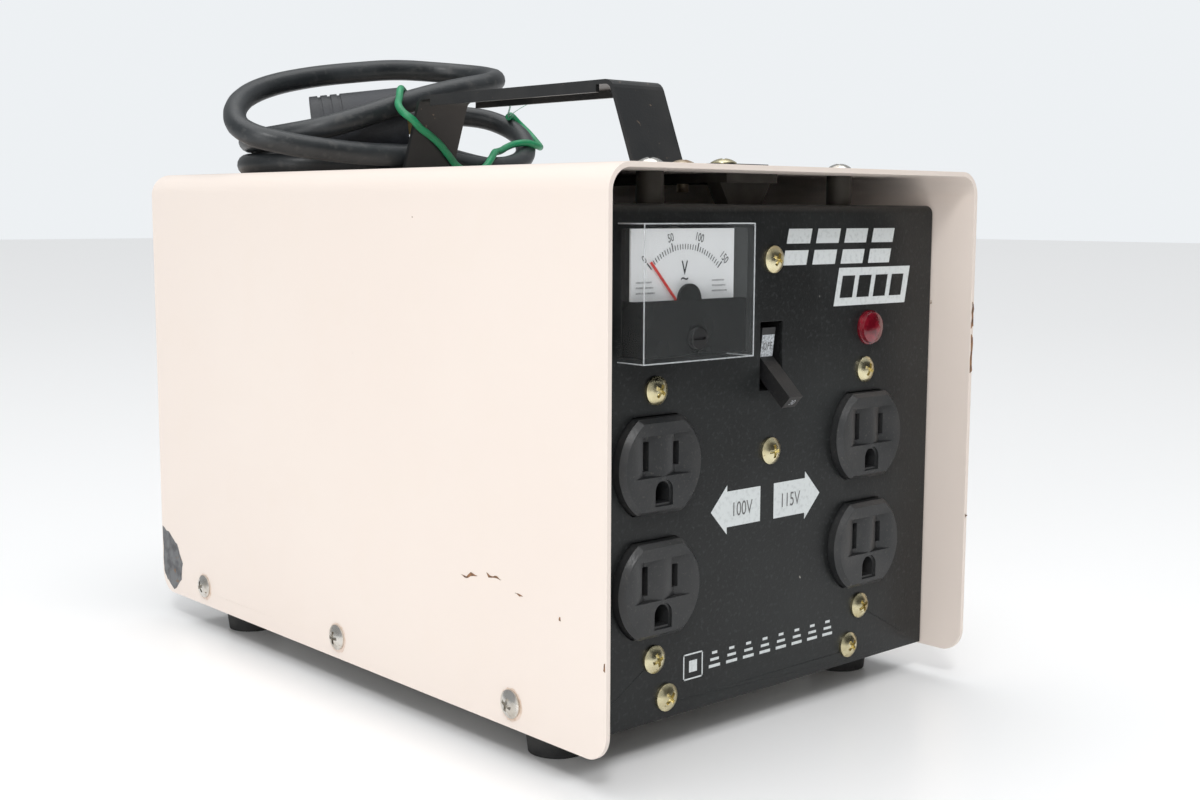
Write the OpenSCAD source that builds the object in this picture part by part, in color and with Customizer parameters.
// Portable step-down transformer box: a sheet-metal case with a carrying handle, two duplex
// outlets, a moving-needle voltmeter, a breaker, a pilot lamp and a wound core inside.
// Units are millimetres. X is right, Y is towards the rear, Z is up. The origin is on the
// table, under the middle of the case.

/* [Case] */
// Outside width of the cover, left to right
case_w = 174; // [170:1:200]
// Outside depth of the cover, front to rear
case_d = 277; // [270:1:320]
// Height of the cover's top above the table
case_h = 182.5; // [180:0.5:200]
// Gap between the table and the lower edge of the cover
case_gap = 10.5; // [8:0.5:14]
// Thickness of the cover and the panels
sheet = 1.6; // [1:0.1:2]
// Outside radius of the cover's bends and of its lower corners
bend_r = 8.4; // [4:0.2:12]
// How far the panels are set back inside the cover
recess = 17; // [12:1:24]
// Height of the panels' turned-back top edge
panel_top = 171; // [169:0.5:174]
// Diameter of a rubber foot at its upper end
foot_d = 22; // [16:1:28]

/* [Handle] */
// Width of the handle's strip
handle_w = 24; // [18:1:30]
// Height of the grip above the table
handle_h = 213.8; // [205:0.2:230]
// Distance from the middle to the grip's bend
grip_half = 57; // [40:1:60]
// Distance from the middle to the end of a handle foot
handle_reach = 108; // [106:1:112]

/* [Front panel] */
// Sideways position of the left outlet
outlet_left_x = -52; // [-56:0.5:-50]
// Sideways position of the right outlet
outlet_right_x = 48; // [46:0.5:52]
// Height of the middle of both outlets
outlet_z = 73.2; // [72:0.2:75]
// Height of the breaker's pivot
breaker_z = 122.4; // [118:0.2:124]
// Rest angle of the breaker's lever below straight out
lever_angle = 42.6; // [36:0.2:44]
// Width of the meter's window
meter_w = 47; // [44:0.5:50]
// Height of the meter's window
meter_h = 41; // [38:0.5:42]
// How far the meter's window stands out of the panel
meter_out = 11.5; // [10:0.5:14]
// Rest angle of the meter's needle, left of straight up
needle_angle = 42.6; // [40:0.2:46]

/* [Core] */
// Width of the centre leg of the laminated core
leg_w = 44; // [38:1:46]
// Thickness of the stack of laminations
stack = 90; // [70:1:95]

/* [Cord] */
// Diameter of the mains cord
cord_d = 9; // [7:0.5:10]
// Diameter of the earth lead
earth_d = 3; // [2:0.2:4]

/* [Hidden] */
$fn = 64;

// panels and tray
panel_y = case_d / 2 - recess;
panel_back = panel_y - sheet;
panel_half_w = case_w / 2 - sheet - 0.8;
panel_low = case_gap + 0.9;
flange_deep = 20;
flange_r = 3;
tray_half_w = case_w / 2 - sheet - 0.2;
tray_floor = panel_low + 2;
tray_rim = panel_low + 13.1;
cover_under = case_h - sheet;

// screws: shank radius, clearance-hole radius and head sizes
shank_r = 2;
hole_r = 2.1;
head_d = 8.8;
head_h = 2.6;
side_screw_z = 18.3;
side_screw_y = [-95, 3.5, 102];
top_screw_x = 45;
top_screw_y = 111;
tray_screw_x = [-46.5, 42.4];
handle_screw_inner = 80;
handle_screw_outer = 99;
foot_x = 69;
foot_y = 96;

// outlets
face_d = 34.5;
face_front_d = 31.3;
face_h = 29.5;
face_front_h = 26.8;
face_out = 4.2;
face_chamfer = 1.6;
face_pitch = 38.2;
face_deep = 3.1;
yoke_pitch = 83.4;
yoke_t = 1.5;
slot_x = 6.35;
slot_deep = 14;
slot_up = 3.3;
earth_down = 8.2;
earth_hole_w = 6;
outlet_body = [40, 66, 26];

// meter
meter_x = -44.5;
meter_z = 144.8;
meter_corner = 2;
meter_wall = 1.5;
barrel_r = 19;
pivot_x = meter_x + 0.5;
pivot_z = 137.6;
pivot_r = 0.8;
dial_out = 4;
needle_out = 4.5;
needle_t = 0.4;
mask_out = 5.4;
mask_top = 142.4;
zero_z = 131;
zero_r = 3.2;

// breaker
breaker_body_size = [34, 72, 42];
window_size = [10.8, 22.2];
lever_y = -(panel_y - 6.4);
lever_w = 6.3;
lever_t = 5;
lever_long = 21.2;
cavity_r = 11.2;
cavity_w = 12;
axle_r = 1.5;
axle_half = 9;
breaker_screw_z = [91.3, 153.5];

// pilot lamp
pilot_x = 49.5;
pilot_z = 129.3;
pilot_r = 5.9;
pilot_out = 3.4;

// core, with its centre leg upright
core_y = 22;
core_w = 3 * leg_w;
core_h = 2.5 * leg_w;
window_w = leg_w / 2;
window_h = 1.5 * leg_w;
core_base = tray_floor;
coil_low = core_base + window_w + 0.3;
coil_high = coil_low + window_h - 0.6;
bobbin_wall = 1.6;
bolt_r = 3;
bolt_hole_r = 3.2;
bolt_x = leg_w * 1.25;
bolt_z = [core_base + leg_w / 4, core_base + core_h - leg_w / 4];
rail_t = 3;
rail_leg = 19;

// terminal strip on the tray, in front of the core
ways = 5;
way_pitch = 16;
way_floor = 9.5;
way_high = 9;
strip_y = -67;
strip_deep = 18;

// cord exit, high on the right of the rear panel
gland_x = 70;
gland_z = 128;

// the coiled cord, lying on the case behind the handle's rear leg
coil_x = 2.6;
coil_y = 104;
coil_half = 44;
coil_r = 30;
coil_bottom = 186.3;
coil_top = 200;
loop_at = [-6, 99, 219];
loop_half = 36;
loop_r = 26;
loop_tilt_x = 23.7;
loop_tilt_y = -9.1;

// the plug, lying inside the coil with one end up on a screw head
plug_at = [-9, 104, 201.5];
plug_turn = -30;
plug_rise = 7;
plug_d = 33;
plug_long = 38;
neck_r = 7;
neck_long = 10;
neck_inset = 2;
plug_grooves = 3;
groove_deep = 0.6;
groove_pitch = 4;
pin = [6.4, 1.5, 18];
pin_spacing = 12.7;

lead_points = [
    [gland_x, panel_y + 8, gland_z],
    [gland_x, 180, gland_z],
    [62, 180, 191],
    [50, 134, 192],
    [30, 134, 192],
];
tail_points = [
    [9, 128, 206],
    [20, 139, 208],
    [44, 136, 218],
    [51, 112, 226],
];
earth_points = [
    [6, 95, 214],
    [12, 90, 218],
    [-6, 77, 218],
    [-19, 66, 212],
    [-18, 55.5, 208],
    [12, 63.1, 189],
    [26, 64, 185],
    [46, 64, 186],
    [56, 64, 202],
    [62, 78, 208],
];
breaker_lead_points = [
    [-20, -67, 33],
    [-20, -67, 60],
    [0, -62, 80],
    [0, -62, 104],
    [0, -76, 104],
];
meter_lead_points = [
    [-30, -30, 106],
    [-30, -40, 116],
    [-38, -58, 145],
    [-38, -84, 145],
];
supply_lead_points = [
    [30, -67, 33],
    [30, -67, 42],
    [76, -62, 42],
    [76, 90, 60],
    [gland_x, 96, gland_z],
    [gland_x, 110, gland_z],
];

// ---- shared shapes ----

// unit vector along v
function unit(v) = v / norm(v);

// points of an arc of radius r that rounds the corner a-b-c, in n steps
function fillet(a, b, c, r, n) =
    let (
        u = unit(a - b),
        v = unit(c - b),
        half = acos(max(-1, min(1, u * v))) / 2,
        start = b + u * r / tan(half),
        end = b + v * r / tan(half),
        centre = b + unit(u + v) * r / sin(half),
        sweep = 180 - 2 * half
    )
    [
        for (i = [0 : n])
            centre
            + (start - centre) * sin(sweep * (1 - i / n)) / sin(sweep)
            + (end - centre) * sin(sweep * i / n) / sin(sweep)
    ];

// a polyline with every inner corner rounded to radius r
function rounded_path(points, r, n) = [
    points[0],
    for (i = [1 : len(points) - 2]) each fillet(points[i - 1], points[i], points[i + 1], r, n),
    points[len(points) - 1],
];

// direction of a path at each of its points
function tangents(path) = [
    for (i = [0 : len(path) - 1])
        unit(path[min(i + 1, len(path) - 1)] - path[max(i - 1, 0)])
];

// normals carried along a path without twist
function normals(t, i = 0, last = [0.6, 0.3, 0.7], found = []) =
    i == len(t)
        ? found
        : let (next = unit(last - t[i] * (last * t[i])))
            normals(t, i + 1, next, concat(found, [next]));

// a round tube of n sides along a path
module tube(path, r, n = 8) {
    t = tangents(path);
    side = normals(t);
    rings = len(path);
    points = [
        for (i = [0 : rings - 1])
            for (j = [0 : n - 1])
                path[i]
                + r * cos(360 * j / n) * side[i]
                + r * sin(360 * j / n) * cross(t[i], side[i])
    ];
    walls = [
        for (i = [0 : rings - 2])
            for (j = [0 : n - 1])
                let (k = (j + 1) % n)
                    [i * n + j, (i + 1) * n + j, (i + 1) * n + k, i * n + k]
    ];
    first_end = [for (j = [0 : n - 1]) j];
    last_end = [for (j = [n - 1 : -1 : 0]) (rings - 1) * n + j];
    polyhedron(points, concat([first_end], walls, [last_end]));
}

// outline with a flat foot on the X axis and two round top corners
module arch(w, h, r) {
    translate([-w / 2, 0]) square([w, h - r]);
    translate([r - w / 2, 0]) square([w - 2 * r, h]);
    for (side = [-1, 1])
        translate([side * (w / 2 - r), h - r]) circle(r);
}

module rounded_rect(w, h, r) {
    square([w - 2 * r, h], center = true);
    square([w, h - 2 * r], center = true);
    for (x = [-1, 1], y = [-1, 1])
        translate([x * (w / 2 - r), y * (h / 2 - r)]) circle(r);
}

module stadium(half, r) {
    square([2 * half, 2 * r], center = true);
    for (side = [-1, 1])
        translate([side * half, 0]) circle(r);
}

// a sheet strip of thickness t along a 2-D polyline
module strip(points, t) {
    for (i = [0 : len(points) - 2]) {
        run = points[i + 1] - points[i];
        translate(points[i])
            rotate(atan2(run.y, run.x))
                translate([0, -t / 2])
                    square([norm(run), t]);
    }
    for (i = [1 : len(points) - 2])
        translate(points[i]) circle(d = t);
}

// a face plate with a flange turned back along its top, seen from the side
module folded_sheet(high, deep, t, r) {
    difference() {
        union() {
            square([deep, high - r]);
            translate([r, 0]) square([deep - r, high]);
            translate([r, high - r]) circle(r);
        }
        translate([t, -1]) {
            square([deep, high - r + 1]);
            translate([r - t, 0]) square([deep, high - t + 1]);
            translate([r - t, high - r + 1]) circle(r - t);
        }
    }
}

// local Z points out of the front panel, local Y points up
module on_front(x, z) {
    translate([x, -panel_y, z]) rotate([90, 0, 0]) children();
}

// local Z points out of the rear panel, local Y points up
module on_rear(x, z) {
    translate([x, panel_y, z]) rotate([90, 0, 180]) children();
}

// a pan-head screw with a cross recess, head on +Z, seat at Z = 0
module screw(long, d = head_d, h = head_h) {
    rim = 0.3 * h;
    dome = h - rim;
    dome_r = (d * d / 4 + dome * dome) / (2 * dome);
    difference() {
        intersection() {
            cylinder(h = h, d = d);
            translate([0, 0, h - dome_r]) sphere(dome_r);
        }
        for (turn = [0, 90])
            rotate(turn)
                translate([0, 0, h])
                    cube([0.5 * d, 0.13 * d, 1.1 * h], center = true);
    }
    translate([0, 0, -long]) cylinder(h = long, r = shank_r);
}

module hex_nut(across, thick, bore_r) {
    difference() {
        cylinder(h = thick, d = across / cos(30), $fn = 6);
        translate([0, 0, -1]) cylinder(h = thick + 2, r = bore_r);
    }
}

// a through hole along Z at the origin
module drill(r) {
    cylinder(h = 60, r = r, center = true);
}

// ---- case ----

module cover() {
    color("mistyrose")
        difference() {
            intersection() {
                rotate([90, 0, 0])
                    linear_extrude(case_d, center = true)
                        translate([0, case_gap])
                            cover_profile();
                rotate([90, 0, 90])
                    linear_extrude(case_w + 2, center = true)
                        translate([0, case_h])
                            mirror([0, 1])
                                arch(case_d, case_h - case_gap, bend_r);
            }
            for (side = [-1, 1], y = side_screw_y)
                translate([side * case_w / 2, y, side_screw_z]) rotate([0, 90, 0]) drill(hole_r);
            for (x = [-1, 1], y = [-1, 1])
                translate([x * top_screw_x, y * top_screw_y, case_h]) drill(hole_r);
            for (end = [-1, 1], y = [handle_screw_inner, handle_screw_outer])
                translate([0, end * y, case_h]) drill(hole_r);
        }
}

module cover_profile() {
    high = case_h - case_gap;
    difference() {
        arch(case_w, high, bend_r);
        translate([0, -1]) arch(case_w - 2 * sheet, high - sheet + 1, bend_r - sheet);
    }
}

// a panel in its own frame: front face at Y = 0, flange running to +Y
module blank_panel() {
    difference() {
        translate([0, 0, panel_low])
            rotate([90, 0, 90])
                linear_extrude(2 * panel_half_w, center = true)
                    folded_sheet(panel_top - panel_low, flange_deep, sheet, flange_r);
        for (x = [-1, 1])
            translate([x * top_screw_x, panel_y - top_screw_y, panel_top]) drill(hole_r);
        for (x = tray_screw_x)
            translate([x, 0, side_screw_z]) rotate([90, 0, 0]) drill(hole_r);
    }
}

module front_panel() {
    color("dimgray")
        difference() {
            translate([0, -panel_y, 0]) blank_panel();
            for (x = [outlet_left_x, outlet_right_x]) {
                for (side = [-1, 1]) {
                    on_front(x, outlet_z + side * face_pitch / 2)
                        linear_extrude(2 * flange_r, center = true)
                            face_outline(face_d + 0.6, face_h + 0.6);
                    on_front(x, outlet_z + side * yoke_pitch / 2)
                        linear_extrude(2 * flange_r, center = true)
                            circle(hole_r);
                }
            }
            on_front(0, breaker_z)
                linear_extrude(2 * flange_r, center = true)
                    square(window_size, center = true);
            for (z = breaker_screw_z)
                on_front(0, z) linear_extrude(2 * flange_r, center = true) circle(hole_r);
            on_front(meter_x, meter_z)
                linear_extrude(2 * flange_r, center = true)
                    circle(barrel_r + 0.3);
            on_front(pilot_x, pilot_z) linear_extrude(2 * flange_r, center = true) circle(4.9);
        }
}

module rear_panel() {
    vent_rows = [40, 60, 80, 100];
    color("dimgray")
        difference() {
            rotate([0, 0, 180]) translate([0, -panel_y, 0]) blank_panel();
            for (z = vent_rows, x = [-50, 0])
                on_rear(x, z)
                    linear_extrude(2 * flange_r, center = true)
                        stadium(16, 1.6);
            on_rear(gland_x, gland_z) linear_extrude(2 * flange_r, center = true) circle(8.2);
        }
}

module base_tray() {
    color("gray")
        difference() {
            translate([-tray_half_w, -panel_back, panel_low])
                cube([2 * tray_half_w, 2 * panel_back, tray_rim - panel_low]);
            translate([sheet - tray_half_w, sheet - panel_back, tray_floor])
                cube([2 * (tray_half_w - sheet), 2 * (panel_back - sheet), tray_rim]);
            for (side = [-1, 1], y = side_screw_y)
                translate([side * tray_half_w, y, side_screw_z])
                    rotate([0, 90, 0])
                        cylinder(h = 4 * sheet, r = hole_r, center = true);
            for (x = tray_screw_x) {
                translate([x, -panel_back, side_screw_z])
                    rotate([90, 0, 0])
                        cylinder(h = 4 * sheet, r = hole_r, center = true);
                translate([-x, panel_back, side_screw_z])
                    rotate([90, 0, 0])
                        cylinder(h = 4 * sheet, r = hole_r, center = true);
            }
            for (x = [-1, 1], y = [-1, 1])
                translate([x * foot_x, y * foot_y, tray_floor]) cylinder(h = 9, r = hole_r, center = true);
            for (x = [-1, 1], end = [-1, 1])
                translate([x * foot_x, rail_bolt_y(end), tray_floor])
                    cylinder(h = 9, r = hole_r, center = true);
        }
}

module feet() {
    well_r = 5.6;
    color("black")
        for (x = [-1, 1], y = [-1, 1])
            translate([x * foot_x, y * foot_y, 0])
                difference() {
                    cylinder(h = panel_low, d1 = foot_d - 3, d2 = foot_d);
                    translate([0, 0, -1]) cylinder(h = 6, r = well_r);
                    drill(hole_r);
                }
}

module foot_screws() {
    color("silver")
        for (x = [-1, 1], y = [-1, 1])
            translate([x * foot_x, y * foot_y, 5]) rotate([180, 0, 0]) screw(14);
}

module foot_nuts() {
    color("silver")
        for (x = [-1, 1], y = [-1, 1])
            translate([x * foot_x, y * foot_y, tray_floor]) hex_nut(7, 3.2, hole_r);
}

module cover_side_screws() {
    color("silver")
        for (side = [-1, 1], y = side_screw_y)
            translate([side * case_w / 2, y, side_screw_z])
                rotate([0, side * 90, 0])
                    rotate(20 * y / 95)
                        screw(8, 9, 2.3);
}

module cover_top_screws() {
    color("silver")
        for (x = [-1, 1], y = [-1, 1])
            translate([x * top_screw_x, y * top_screw_y, case_h]) rotate(30 * x + 10 * y) screw(16);
}

module cover_spacers() {
    color("gray")
        for (x = [-1, 1], y = [-1, 1])
            translate([x * top_screw_x, y * top_screw_y, panel_top])
                difference() {
                    cylinder(h = cover_under - panel_top, d = 8.6);
                    drill(hole_r);
                }
}

module panel_screws() {
    color("goldenrod") {
        for (x = [outlet_left_x, outlet_right_x], side = [-1, 1])
            on_front(x, outlet_z + side * yoke_pitch / 2) rotate(x + 20 * side) screw(10);
        for (z = breaker_screw_z)
            on_front(0, z) rotate(z) screw(9);
        for (x = tray_screw_x) {
            on_front(x, side_screw_z) rotate(x) screw(8);
            on_rear(-x, side_screw_z) rotate(-x) screw(8);
        }
    }
}

// ---- handle ----

module handle() {
    lip_deep = 4.2;
    grip_z = handle_h - sheet / 2;
    foot_z = case_h + sheet / 2;
    half = [
        [0, grip_z],
        [grip_half - 0.5, grip_z],
        [grip_half + 11.3, foot_z],
        [handle_reach, foot_z],
    ];
    arm = rounded_path(half, 4, 4);
    color("black")
        difference() {
            union() {
                for (turn = [0, 180])
                    rotate([90, 0, 90 + turn])
                        linear_extrude(handle_w, center = true)
                            strip(arm, sheet);
                for (side = [-1, 1])
                    translate([side * (handle_w - sheet) / 2, 0, handle_h - lip_deep / 2])
                        cube([sheet, 2 * (grip_half - 8), lip_deep], center = true);
            }
            for (end = [-1, 1], y = [handle_screw_inner, handle_screw_outer])
                translate([0, end * y, case_h]) cylinder(h = 12, r = hole_r, center = true);
        }
}

module handle_screws_inner() {
    color("tan")
        for (end = [-1, 1])
            translate([0, end * handle_screw_inner, case_h + sheet]) rotate(15 * end) screw(9, 8.6, 2);
}

module handle_screws_outer() {
    color("goldenrod")
        for (end = [-1, 1])
            translate([0, end * handle_screw_outer, case_h + sheet]) rotate(40 * end) screw(9, 8.6, 2);
}

module lift_bar() {
    bar_t = 3;
    stub_y = 106;
    half = handle_w / 2;
    low = cover_under - bar_t;
    color("saddlebrown")
        difference() {
            union() {
                translate([-half, -stub_y - 6, low]) cube([handle_w, 2 * (stub_y + 6), bar_t]);
                for (end = [-1, 1])
                    translate([0, end * stub_y, 0])
                        rotate([90, 0, 0])
                            linear_extrude(6, center = true)
                                polygon([
                                    [-half, low],
                                    [half, low],
                                    [half - 4, panel_top],
                                    [4 - half, panel_top],
                                ]);
            }
            for (end = [-1, 1], y = [handle_screw_inner, handle_screw_outer])
                translate([0, end * y, case_h]) drill(hole_r);
        }
}

// ---- voltmeter ----

module meter_case() {
    color("black")
        on_front(meter_x, meter_z) {
            translate([0, 0, -28]) cylinder(h = 28, r = barrel_r);
            linear_extrude(meter_wall) rounded_rect(meter_w - 3.4, meter_h - 3.4, 1);
            translate([0, pivot_z - meter_z, 0]) cylinder(h = dial_out - 0.6, r = 5);
        }
}

module meter_window() {
    front = 2;
    color("lightblue", 0.35)
        difference() {
            on_front(meter_x, meter_z)
                linear_extrude(meter_out)
                    rounded_rect(meter_w, meter_h, meter_corner);
            on_front(meter_x, meter_z)
                translate([0, 0, -1])
                    linear_extrude(meter_out - front + 1)
                        rounded_rect(meter_w - 2 * meter_wall, meter_h - 2 * meter_wall, 0.8);
            on_front(meter_x, zero_z)
                translate([0, 0, meter_out - front - 1])
                    cylinder(h = 4, r = zero_r + 0.06);
        }
}

module meter_mask() {
    low = meter_z - meter_h / 2 + meter_wall + 0.2;
    color("black")
        difference() {
            union() {
                on_front(meter_x, 0)
                    translate([0, (low + mask_top) / 2, mask_out])
                        linear_extrude(1)
                            square([meter_w - 2 * meter_wall - 0.4, mask_top - low], center = true);
                on_front(pivot_x, mask_top) translate([0, 0, mask_out]) cylinder(h = 1, r = 4.8);
            }
            on_front(meter_x, zero_z) drill(zero_r + 0.3);
        }
}

module meter_dial() {
    wide = meter_w - 2 * meter_wall - 0.4;
    color("white") {
        on_front(meter_x, meter_z)
            translate([0, 0, dial_out - 0.6])
                linear_extrude(0.6)
                    square([wide, meter_h - 2 * meter_wall - 0.4], center = true);
        on_front(pivot_x, pivot_z)
            translate([0, 0, dial_out - 0.6])
                cylinder(h = mask_out - dial_out + 0.5, r = pivot_r);
    }
}

module meter_needle() {
    long = 21.9;
    tail = 4;
    color("red")
        on_front(pivot_x, pivot_z)
            rotate(needle_angle)
                translate([0, 0, needle_out])
                    linear_extrude(needle_t)
                        difference() {
                            union() {
                                circle(2.4);
                                translate([-0.35, -tail]) square([0.7, long + tail]);
                            }
                            circle(pivot_r + 0.05);
                        }
}

module meter_zero_screw() {
    color("black")
        on_front(meter_x, zero_z)
            difference() {
                union() {
                    translate([0, 0, meter_out - 2.6]) cylinder(h = 2.2, r = zero_r);
                    translate([0, 0, meter_out - 3.2]) cylinder(h = 1.1, r = zero_r + 0.8);
                }
                translate([0, 0, meter_out - 0.4]) cube([5, 0.9, 1.4], center = true);
            }
}

module meter_studs() {
    color("gold")
        for (side = [-1, 1])
            on_front(meter_x + side * 10, meter_z) translate([0, 0, -38]) {
                cylinder(h = 10, r = 2);
                translate([0, 0, 4]) hex_nut(7, 3, 1.9);
            }
}

// ---- breaker ----

module breaker_body() {
    color("black")
        difference() {
            on_front(0, breaker_z)
                translate([0, 0, -sheet - breaker_body_size.z])
                    linear_extrude(breaker_body_size.z)
                        square([breaker_body_size.x, breaker_body_size.y], center = true);
            translate([0, lever_y, breaker_z]) {
                rotate([0, 90, 0]) cylinder(h = cavity_w, r = cavity_r, center = true);
                translate([-cavity_w / 2, -12, -cavity_r]) cube([cavity_w, 12, 2 * cavity_r]);
                rotate([0, 90, 0]) cylinder(h = 2 * axle_half + 0.4, r = axle_r + 0.05, center = true);
            }
            for (z = breaker_screw_z)
                on_front(0, z) cylinder(h = 30, r = hole_r, center = true);
        }
}

module breaker_lever() {
    color("black")
        translate([0, lever_y, breaker_z])
            rotate([lever_angle, 0, 0]) {
                rotate([90, 0, 90])
                    linear_extrude(lever_w, center = true) {
                        polygon([
                            [-4.2, 1.2],
                            [2.3, 10.2],
                            [4.6, 8.5],
                            [3.2, 3],
                            [3.2, -3],
                            [4.6, -8.5],
                            [2.3, -10.2],
                            [-4.2, -1.2],
                        ]);
                        translate([-lever_long, -lever_t / 2]) square([lever_long, lever_t]);
                    }
                rotate([0, 90, 0]) cylinder(h = 2 * axle_half, r = axle_r, center = true);
            }
}

module breaker_terminals() {
    color("gold")
        for (side = [-1, 1])
            translate([0, sheet + breaker_body_size.z - panel_y, breaker_z + side * 24])
                rotate([-90, 0, 0]) {
                    cylinder(h = 5, r = 4);
                    translate([-6, -5, 0]) cube([12, 10, 1.5]);
                }
}

// ---- pilot lamp ----

module pilot_lens() {
    color("darkred")
        on_front(pilot_x, pilot_z) {
            cylinder(h = 1, r = pilot_r);
            intersection() {
                cylinder(h = pilot_out, r1 = pilot_r - 0.3, r2 = pilot_r - 0.8);
                translate([0, 0, pilot_out - 14]) sphere(14);
            }
            translate([0, 0, -3]) cylinder(h = 3, r = 4.5);
        }
}

module pilot_body() {
    color("black")
        on_front(pilot_x, pilot_z)
            translate([0, 0, -32])
                cylinder(h = 29, r = 4.5);
}

module pilot_nut() {
    color("silver")
        on_front(pilot_x, pilot_z) translate([0, 0, -sheet - 3]) hex_nut(13, 3, 4.6);
}

// ---- outlets ----

module face_outline(wide, high) {
    intersection() {
        circle(d = wide);
        square([wide, high], center = true);
    }
}

// one raised outlet face, its front at face_out, its back level with the outlet's body
module outlet_face() {
    straight = face_out - face_chamfer;
    translate([0, 0, -face_deep])
        linear_extrude(face_deep + straight)
            face_outline(face_d, face_h);
    translate([0, 0, straight])
        intersection() {
            cylinder(h = face_chamfer, d1 = face_d, d2 = face_front_d);
            rotate([90, 0, 90])
                linear_extrude(face_d, center = true)
                    polygon([
                        [-face_h / 2, 0],
                        [face_h / 2, 0],
                        [face_front_h / 2, face_chamfer],
                        [-face_front_h / 2, face_chamfer],
                    ]);
        }
}

// the two blade slots in their sloping recess, and the earth hole
module outlet_cuts() {
    recess_half = 11.75;
    recess_high = 12.7;
    recess_deep = 2;
    mouth = 0.9;
    translate([0, slot_up, face_out])
        rotate([90, 0, 0])
            linear_extrude(recess_high, center = true)
                polygon([
                    [-recess_half, 0.01],
                    [-slot_x, -recess_deep],
                    [0, 0],
                    [slot_x, -recess_deep],
                    [recess_half, 0.01],
                    [recess_half, 2],
                    [-recess_half, 2],
                ]);
    for (slot = [[-slot_x, 9], [slot_x, 7.2]])
        translate([slot.x, slot_up, face_out - slot_deep / 2])
            cube([2.4, slot.y, slot_deep], center = true);
    translate([0, -earth_down, face_out - slot_deep])
        linear_extrude(slot_deep + 1)
            earth_outline(earth_hole_w);
    translate([0, -earth_down, face_out - mouth])
        linear_extrude(mouth + 1)
            earth_outline(earth_hole_w + 1.4);
}

// D-shaped hole, round above and flat below
module earth_outline(wide) {
    translate([0, 0.5]) circle(d = wide);
    translate([-wide / 2, 0.5 - wide * 0.6]) square([wide, wide * 0.6]);
}

module outlet(x) {
    color("saddlebrown")
        on_front(x, outlet_z)
            difference() {
                union() {
                    for (side = [-1, 1])
                        translate([0, side * face_pitch / 2, 0]) outlet_face();
                    translate([0, 0, -face_deep - outlet_body.z])
                        linear_extrude(outlet_body.z)
                            square([outlet_body.x, outlet_body.y], center = true);
                }
                for (side = [-1, 1])
                    translate([0, side * face_pitch / 2, 0]) outlet_cuts();
            }
}

module outlet_yoke(x) {
    ear = [24, yoke_pitch + 12];
    plate = [42, 72];
    color("silver")
        on_front(x, outlet_z)
            translate([0, 0, -sheet - yoke_t])
                linear_extrude(yoke_t)
                    difference() {
                        union() {
                            square(ear, center = true);
                            square(plate, center = true);
                        }
                        for (side = [-1, 1]) {
                            translate([0, side * face_pitch / 2]) face_outline(face_d + 0.6, face_h + 0.6);
                            translate([0, side * yoke_pitch / 2]) circle(hole_r);
                        }
                    }
}

module outlet_contacts(x) {
    floor_z = face_out - slot_deep;
    color("gold")
        for (side = [-1, 1])
            on_front(x, outlet_z + side * face_pitch / 2) {
                for (slot = [[-slot_x, 8], [slot_x, 6.4]])
                    translate([slot.x - 0.8, slot_up - slot.y / 2, floor_z])
                        cube([1.6, slot.y, 7]);
                translate([0, -earth_down, floor_z])
                    linear_extrude(1.2)
                        circle(d = earth_hole_w - 0.6);
            }
}

// ---- core and windings ----

// a rectangular ring around the centre leg
module leg_ring(inner, outer, corner) {
    translate([0, core_y])
        difference() {
            rounded_rect(leg_w + 2 * outer, stack + 2 * outer, corner);
            rounded_rect(leg_w + 2 * inner, stack + 2 * inner, max(0.1, corner + inner - outer));
        }
}

module core() {
    color("dimgray")
        translate([0, core_y, core_base])
            rotate([90, 0, 0])
                linear_extrude(stack, center = true)
                    difference() {
                        translate([-core_w / 2, 0]) square([core_w, core_h]);
                        for (side = [-1, 1])
                            translate([side * leg_w * 0.75 - window_w / 2, window_w])
                                square([window_w, window_h]);
                        for (side = [-1, 1], z = bolt_z)
                            translate([side * bolt_x, z - core_base]) circle(bolt_hole_r);
                    }
}

module bobbin() {
    color("ivory") {
        for (z = [coil_low, coil_high - bobbin_wall])
            translate([0, 0, z])
                linear_extrude(bobbin_wall)
                    leg_ring(0.2, window_w - 0.5, 3);
        translate([0, 0, coil_low])
            linear_extrude(coil_high - coil_low)
                leg_ring(0.2, 0.2 + bobbin_wall, 1);
    }
}

module winding() {
    color("darkorange")
        translate([0, 0, coil_low + bobbin_wall])
            linear_extrude(coil_high - coil_low - 2 * bobbin_wall)
                leg_ring(0.2 + bobbin_wall, window_w - 2, 8);
}

module winding_wrap() {
    middle = (coil_low + coil_high) / 2;
    color("khaki")
        translate([0, 0, middle - 14])
            linear_extrude(28)
                leg_ring(window_w - 2, window_w - 1.2, 8.8);
}

// Y position of the bolts through the rails' feet, at the front or the rear end
function rail_bolt_y(end) = core_y + end * (stack / 2 + rail_leg - 7);

module core_rail(end) {
    color("slategray")
        difference() {
            translate([0, core_y + end * stack / 2, core_base])
                scale([1, end, 1])
                    union() {
                        translate([-core_w / 2 - 8, 0, 0]) cube([core_w + 16, rail_t, rail_leg]);
                        translate([-core_w / 2 - 8, 0, 0]) cube([core_w + 16, rail_leg, rail_t]);
                    }
            for (side = [-1, 1]) {
                translate([side * bolt_x, core_y + end * stack / 2, bolt_z[0]])
                    rotate([90, 0, 0])
                        cylinder(h = 4 * rail_t, r = bolt_hole_r, center = true);
                translate([side * foot_x, rail_bolt_y(end), core_base])
                    cylinder(h = 4 * rail_t, r = hole_r, center = true);
            }
        }
}

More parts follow.
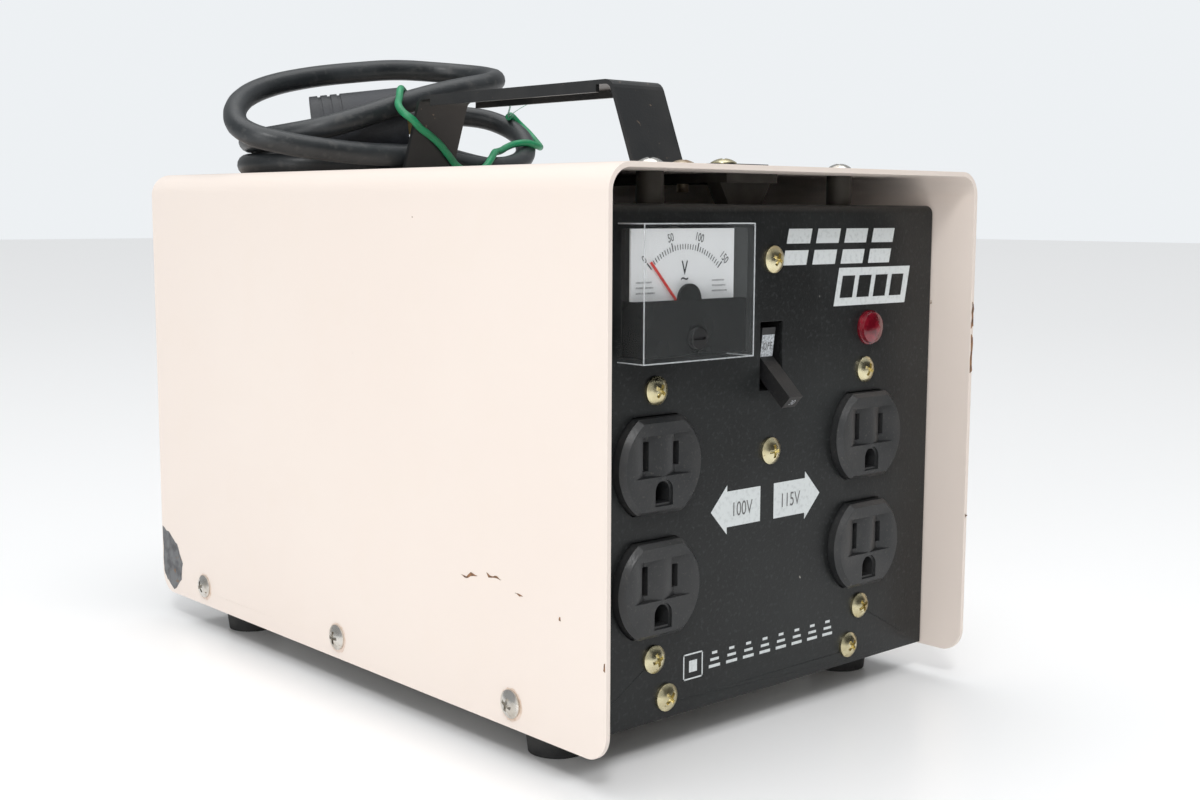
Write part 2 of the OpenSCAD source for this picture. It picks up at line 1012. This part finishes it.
module core_bolts() {
    color("silver")
        for (side = [-1, 1], z = bolt_z) {
            seat = z == bolt_z[0] ? rail_t : 0;
            translate([side * bolt_x, core_y - stack / 2 - seat, z])
                rotate([-90, 0, 0]) {
                    translate([0, 0, -4]) cylinder(h = 4, d = 10 / cos(30), $fn = 6);
                    cylinder(h = stack + 2 * rail_t + 8, r = bolt_r);
                }
        }
}

module core_nuts() {
    color("silver")
        for (side = [-1, 1], z = bolt_z) {
            seat = z == bolt_z[0] ? rail_t : 0;
            translate([side * bolt_x, core_y + stack / 2 + seat, z])
                rotate([-90, 0, 0])
                    hex_nut(10, 5, bolt_r + 0.05);
        }
}

module rail_bolts() {
    color("silver")
        for (side = [-1, 1], end = [-1, 1])
            translate([side * foot_x, rail_bolt_y(end), core_base + rail_t]) screw(7);
}

// a place along the terminal strip, for each of its ways
module at_ways() {
    for (i = [0 : ways - 1])
        translate([(i - (ways - 1) / 2) * way_pitch, strip_y, tray_floor]) children();
}

module terminal_strip() {
    color("black")
        difference() {
            translate([-ways * way_pitch / 2, strip_y - strip_deep / 2, tray_floor])
                cube([ways * way_pitch, strip_deep, strip_deep]);
            at_ways()
                translate([0, 0, way_floor + way_high / 2])
                    cube([way_pitch - 3, strip_deep - 4, way_high], center = true);
        }
}

module terminal_screws() {
    color("gold")
        at_ways() {
            translate([0, 0, way_floor]) cylinder(h = 2, r = 3.5);
            translate([0, 0, way_floor + 2]) cylinder(h = 2, r = 2.5);
        }
}

module breaker_lead() {
    color("black") tube(rounded_path(breaker_lead_points, 7, 3), 1.5);
}

module meter_lead() {
    color("red") tube(rounded_path(meter_lead_points, 7, 3), 1.2);
}

module supply_lead() {
    color("white") tube(rounded_path(supply_lead_points, 6, 3), 1.5);
}

// ---- cord ----

module cord_gland() {
    color("black")
        on_rear(gland_x, gland_z)
            difference() {
                union() {
                    cylinder(h = 4, d = 24 / cos(30), $fn = 6);
                    translate([0, 0, 4]) cylinder(h = 4, r = 9.5);
                    translate([0, 0, -10]) cylinder(h = 10, r = 8);
                }
                drill(cord_d / 2 + 0.5);
            }
}

module gland_nut() {
    color("black")
        on_rear(gland_x, gland_z) translate([0, 0, -sheet - 5]) hex_nut(22, 5, 8.05);
}

module strain_relief() {
    color("black")
        on_rear(gland_x, gland_z)
            translate([0, 0, 8])
                difference() {
                    cylinder(h = 24, r1 = 8, r2 = cord_d / 2 + 1.2);
                    translate([0, 0, -1]) cylinder(h = 26, r = cord_d / 2 + 0.05);
                }
}

module cord_lead() {
    color("black") tube(rounded_path(lead_points, 24, 6), cord_d / 2, 12);
}

module cord_coil_low() {
    color("black")
        translate([coil_x, coil_y, coil_bottom])
            linear_extrude(coil_top - coil_bottom)
                difference() {
                    stadium(coil_half, coil_r + cord_d / 2);
                    stadium(coil_half, coil_r - cord_d / 2);
                }
}

module cord_loop_top() {
    color("black")
        translate(loop_at)
            rotate([loop_tilt_x, loop_tilt_y, 0])
                linear_extrude(cord_d, center = true)
                    difference() {
                        stadium(loop_half, loop_r + cord_d / 2);
                        stadium(loop_half, loop_r - cord_d / 2);
                    }
}

module cord_tail() {
    color("black") tube(rounded_path(tail_points, 8, 4), cord_d / 2, 12);
}

// local Z runs along the plug to its blades
module at_plug() {
    translate(plug_at)
        rotate([0, 0, plug_turn])
            rotate([0, 90 - plug_rise, 0])
                children();
}

module plug_body() {
    color("black")
        at_plug() {
            difference() {
                translate([0, 0, -plug_long / 2]) cylinder(h = plug_long, d = plug_d);
                for (step = [1 : plug_grooves])
                    translate([0, 0, step * groove_pitch - plug_long / 2])
                        difference() {
                            cylinder(h = groove_pitch / 3, d = plug_d + 1, center = true);
                            cylinder(h = groove_pitch, d = plug_d - 2 * groove_deep, center = true);
                        }
            }
            rotate([-90, 0, 0])
                translate([0, 0, plug_d / 2 - neck_inset])
                    cylinder(h = neck_long + neck_inset, r1 = neck_r, r2 = cord_d / 2 + 1);
        }
}

module plug_pins() {
    color("gold")
        at_plug()
            for (side = [-1, 1])
                translate([-pin.x / 2, side * pin_spacing / 2 - pin.y / 2, plug_long / 2])
                    cube(pin);
}

module earth_lead() {
    color("green") tube(rounded_path(earth_points, 5, 3), earth_d / 2);
}

// ---- drawing ----

cover();
front_panel();
rear_panel();
base_tray();
feet();
foot_screws();
foot_nuts();
cover_side_screws();
cover_top_screws();
cover_spacers();
handle();
handle_screws_inner();
handle_screws_outer();
lift_bar();
panel_screws();
meter_case();
meter_window();
meter_mask();
meter_dial();
meter_needle();
meter_zero_screw();
meter_studs();
breaker_body();
breaker_lever();
breaker_terminals();
pilot_lens();
pilot_body();
pilot_nut();
outlet(outlet_left_x);  // outlet_left
outlet(outlet_right_x);  // outlet_right
outlet_yoke(outlet_left_x);  // outlet_yoke_left
outlet_yoke(outlet_right_x);  // outlet_yoke_right
outlet_contacts(outlet_left_x);  // outlet_contacts_left
outlet_contacts(outlet_right_x);  // outlet_contacts_right
core();
bobbin();
winding();
winding_wrap();
core_rail(-1);  // core_rail_front
core_rail(1);  // core_rail_rear
core_bolts();
core_nuts();
rail_bolts();
terminal_strip();
terminal_screws();
breaker_lead();
meter_lead();
supply_lead();
cord_gland();
gland_nut();
strain_relief();
cord_lead();
cord_coil_low();
cord_loop_top();
cord_tail();
plug_body();
plug_pins();
earth_lead();
